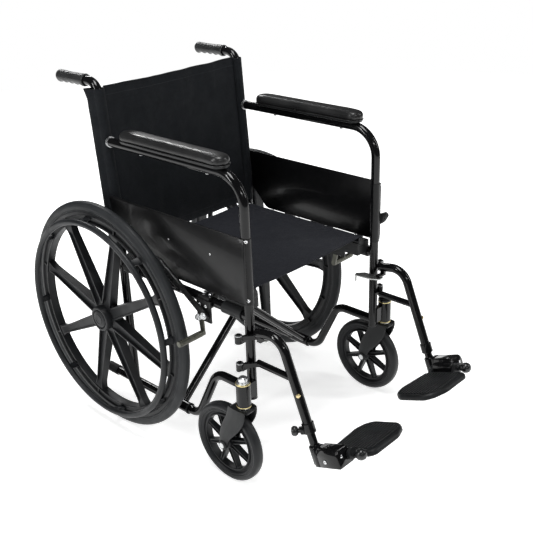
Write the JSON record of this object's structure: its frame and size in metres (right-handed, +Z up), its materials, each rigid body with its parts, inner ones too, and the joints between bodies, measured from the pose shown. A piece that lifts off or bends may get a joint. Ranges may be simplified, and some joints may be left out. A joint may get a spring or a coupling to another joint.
{
  "type": "manual wheelchair",
  "caption": "Folding self-propelled wheelchair with a cross-brace tube frame, sling seat and back, spoked wheels, casters, fixed arms and swing-away footrests.",
  "frame": {"origin": "on the floor under the middle of the open chair", "axes": "+Z up, the chair faces -Y, the occupant's right side is at -X"},
  "size_m": [0.66, 1.0837, 0.9075],
  "materials": {
    "frame_paint": "gloss",
    "guard_paint": "satin",
    "slide_paint": "satin",
    "bracket_steel": "satin",
    "lever_steel": "satin",
    "shoe_steel": "satin",
    "latch_steel": "satin",
    "bolt_steel": "satin",
    "stem_steel": "satin",
    "wheel_plastic": "satin",
    "handrim_plastic": "gloss",
    "fork_plastic": "satin",
    "tyre_rubber": "matte",
    "caster_rubber": "matte",
    "saddle_plastic": "matte",
    "pad_vinyl": "satin",
    "grip_vinyl": "satin",
    "plate_plastic": "matte",
    "knob_plastic": "gloss",
    "seat_nylon": "matte",
    "back_nylon": "matte"
  },
  "bodies": {
    "right_frame": {"right_back_cane": "frame_paint", "right_arm_and_front_post": "frame_paint", "right_lower_side_rail": "frame_paint", "right_upper_side_rail": "frame_paint", "right_caster_barrel_and_lugs": "frame_paint", "right_seat_rail_saddles": "saddle_plastic", "right_skirt_guard": "guard_paint", "right_armrest_pad": "pad_vinyl", "right_push_grip": "grip_vinyl", "right_rear_axle": "bolt_steel", "right_brake_bracket": "bracket_steel", "back_upholstery": "back_nylon"},
    "single_arm": {"cross_arm_single": "frame_paint", "cross_bolt": "bolt_steel", "left_seat_rail": "frame_paint", "seat_upholstery": "seat_nylon"},
    "twin_arm": {"cross_arm_twin": "frame_paint", "right_seat_rail": "frame_paint"},
    "left_frame": {"left_back_cane": "frame_paint", "left_arm_and_front_post": "frame_paint", "left_lower_side_rail": "frame_paint", "left_upper_side_rail": "frame_paint", "left_caster_barrel_and_lugs": "frame_paint", "left_seat_rail_saddles": "saddle_plastic", "left_skirt_guard": "guard_paint", "left_armrest_pad": "pad_vinyl", "left_push_grip": "grip_vinyl", "left_rear_axle": "bolt_steel", "left_brake_bracket": "bracket_steel"},
    "right_rear_wheel": {"right_rear_wheel": "wheel_plastic", "right_rear_tyre": "tyre_rubber", "right_handrim": "handrim_plastic"},
    "right_caster_fork": {"right_caster_fork": "fork_plastic", "right_caster_stem": "stem_steel", "right_caster_axle": "bolt_steel"},
    "right_caster_wheel": {"right_caster_wheel": "wheel_plastic", "right_caster_tyre": "caster_rubber"},
    "right_brake_lever": {"right_brake_lever": "lever_steel"},
    "right_brake_shoe": {"right_brake_shoe": "shoe_steel"},
    "right_hanger": {"right_footrest_hanger": "frame_paint"},
    "right_latch": {"right_hanger_latch": "latch_steel"},
    "right_slide": {"right_footrest_slide": "slide_paint"},
    "right_foot_pin": {"right_footplate_hinge_pin": "knob_plastic"},
    "right_footplate": {"right_footplate": "plate_plastic"},
    "left_rear_wheel": {"left_rear_wheel": "wheel_plastic", "left_rear_tyre": "tyre_rubber", "left_handrim": "handrim_plastic"},
    "left_caster_fork": {"left_caster_fork": "fork_plastic", "left_caster_stem": "stem_steel", "left_caster_axle": "bolt_steel"},
    "left_caster_wheel": {"left_caster_wheel": "wheel_plastic", "left_caster_tyre": "caster_rubber"},
    "left_brake_lever": {"left_brake_lever": "lever_steel"},
    "left_brake_shoe": {"left_brake_shoe": "shoe_steel"},
    "left_hanger": {"left_footrest_hanger": "frame_paint"},
    "left_latch": {"left_hanger_latch": "latch_steel"},
    "left_slide": {"left_footrest_slide": "slide_paint"},
    "left_foot_pin": {"left_footplate_hinge_pin": "knob_plastic"},
    "left_footplate": {"left_footplate": "plate_plastic"}
  },
  "joints": [
    {"name": "fold", "type": "hinge", "parent": "right_frame", "child": "single_arm", "pos_m": [-0.229, 0.036, 0.092], "axis": [0, -1, 0], "range_deg": [0, 33.3], "deforming": ["back_upholstery"]},
    {"name": "cross_pivot", "type": "hinge", "parent": "single_arm", "child": "twin_arm", "pos_m": [0, 0.036, 0.29616], "axis": [0, -1, 0], "range_deg": [-66.6, 0], "deforming": ["seat_upholstery"]},
    {"name": "left_frame_pivot", "type": "hinge", "parent": "twin_arm", "child": "left_frame", "pos_m": [0.229, 0.036, 0.092], "axis": [0, -1, 0], "range_deg": [0, 33.3]},
    {"name": "right_wheel_spin", "type": "hinge", "parent": "right_frame", "child": "right_rear_wheel", "pos_m": [-0.285, 0.236, 0.305], "axis": [1, 0, 0], "continuous": true},
    {"name": "right_caster_swivel", "type": "hinge", "parent": "right_frame", "child": "right_caster_fork", "pos_m": [-0.268, -0.232, 0.224], "axis": [0, 0, 1], "continuous": true},
    {"name": "right_caster_spin", "type": "hinge", "parent": "right_caster_fork", "child": "right_caster_wheel", "pos_m": [-0.268, -0.177, 0.1015], "axis": [1, 0, 0], "continuous": true},
    {"name": "right_brake_lever_swing", "type": "hinge", "parent": "right_frame", "child": "right_brake_lever", "pos_m": [-0.243, -0.102, 0.404], "axis": [1, 0, 0], "range_deg": [0, 105]},
    {"name": "right_brake_shoe_swing", "type": "hinge", "parent": "right_frame", "child": "right_brake_shoe", "pos_m": [-0.243, -0.084, 0.396], "axis": [1, 0, 0], "range_deg": [0, 19]},
    {"name": "right_hanger_swing", "type": "hinge", "parent": "right_frame", "child": "right_hanger", "pos_m": [-0.262, -0.219, 0.384], "axis": [0, 0, -1], "range_deg": [0, 90]},
    {"name": "right_latch_release", "type": "hinge", "parent": "right_hanger", "child": "right_latch", "pos_m": [-0.212, -0.252, 0.376], "axis": [0, 0, -1], "range_deg": [0, 25]},
    {"name": "right_footrest_height", "type": "slide", "parent": "right_hanger", "child": "right_slide", "axis": [0, -0.3683, -0.9297], "range_m": [-0.024, 0.048]},
    {"name": "right_footplate_fold", "type": "hinge", "parent": "right_slide", "child": "right_foot_pin", "pos_m": [-0.212, -0.45865, 0.17174], "axis": [0, -0.9297, 0.3683], "range_deg": [0, 90]},
    {"name": "right_footplate_flip", "type": "hinge", "parent": "right_foot_pin", "child": "right_footplate", "pos_m": [-0.212, -0.45865, 0.17174], "axis": [0, 0.9297, -0.3683], "range_deg": [-90, 0]},
    {"name": "left_wheel_spin", "type": "hinge", "parent": "left_frame", "child": "left_rear_wheel", "pos_m": [0.285, 0.236, 0.305], "axis": [1, 0, 0], "continuous": true},
    {"name": "left_caster_swivel", "type": "hinge", "parent": "left_frame", "child": "left_caster_fork", "pos_m": [0.268, -0.232, 0.224], "axis": [0, 0, 1], "continuous": true},
    {"name": "left_caster_spin", "type": "hinge", "parent": "left_caster_fork", "child": "left_caster_wheel", "pos_m": [0.268, -0.177, 0.1015], "axis": [1, 0, 0], "continuous": true},
    {"name": "left_brake_lever_swing", "type": "hinge", "parent": "left_frame", "child": "left_brake_lever", "pos_m": [0.243, -0.102, 0.404], "axis": [1, 0, 0], "range_deg": [-105, 0]},
    {"name": "left_brake_shoe_swing", "type": "hinge", "parent": "left_frame", "child": "left_brake_shoe", "pos_m": [0.243, -0.084, 0.396], "axis": [1, 0, 0], "range_deg": [-19, 0]},
    {"name": "left_hanger_swing", "type": "hinge", "parent": "left_frame", "child": "left_hanger", "pos_m": [0.262, -0.219, 0.384], "axis": [0, 0, 1], "range_deg": [0, 90]},
    {"name": "left_latch_release", "type": "hinge", "parent": "left_hanger", "child": "left_latch", "pos_m": [0.212, -0.252, 0.376], "axis": [0, 0, 1], "range_deg": [0, 25]},
    {"name": "left_footrest_height", "type": "slide", "parent": "left_hanger", "child": "left_slide", "axis": [0, -0.3683, -0.9297], "range_m": [-0.008, 0.064]},
    {"name": "left_footplate_fold", "type": "hinge", "parent": "left_slide", "child": "left_foot_pin", "pos_m": [0.212, -0.45276, 0.18661], "axis": [0, 0.9297, -0.3683], "range_deg": [0, 90]},
    {"name": "left_footplate_flip", "type": "hinge", "parent": "left_foot_pin", "child": "left_footplate", "pos_m": [0.212, -0.45276, 0.18661], "axis": [0, -0.9297, 0.3683], "range_deg": [-90, 0]}
  ],
  "couplings": [
    {"joint": "cross_pivot", "follows": "fold", "ratio": -2},
    {"joint": "left_frame_pivot", "follows": "fold", "ratio": 1},
    {"joint": "right_brake_shoe_swing", "follows": "right_brake_lever_swing", "ratio": 0.18095},
    {"joint": "right_footplate_fold", "follows": "fold", "ratio": 2.7026},
    {"joint": "left_brake_shoe_swing", "follows": "left_brake_lever_swing", "ratio": 0.18095},
    {"joint": "left_footplate_fold", "follows": "fold", "ratio": 2.7026}
  ]
}
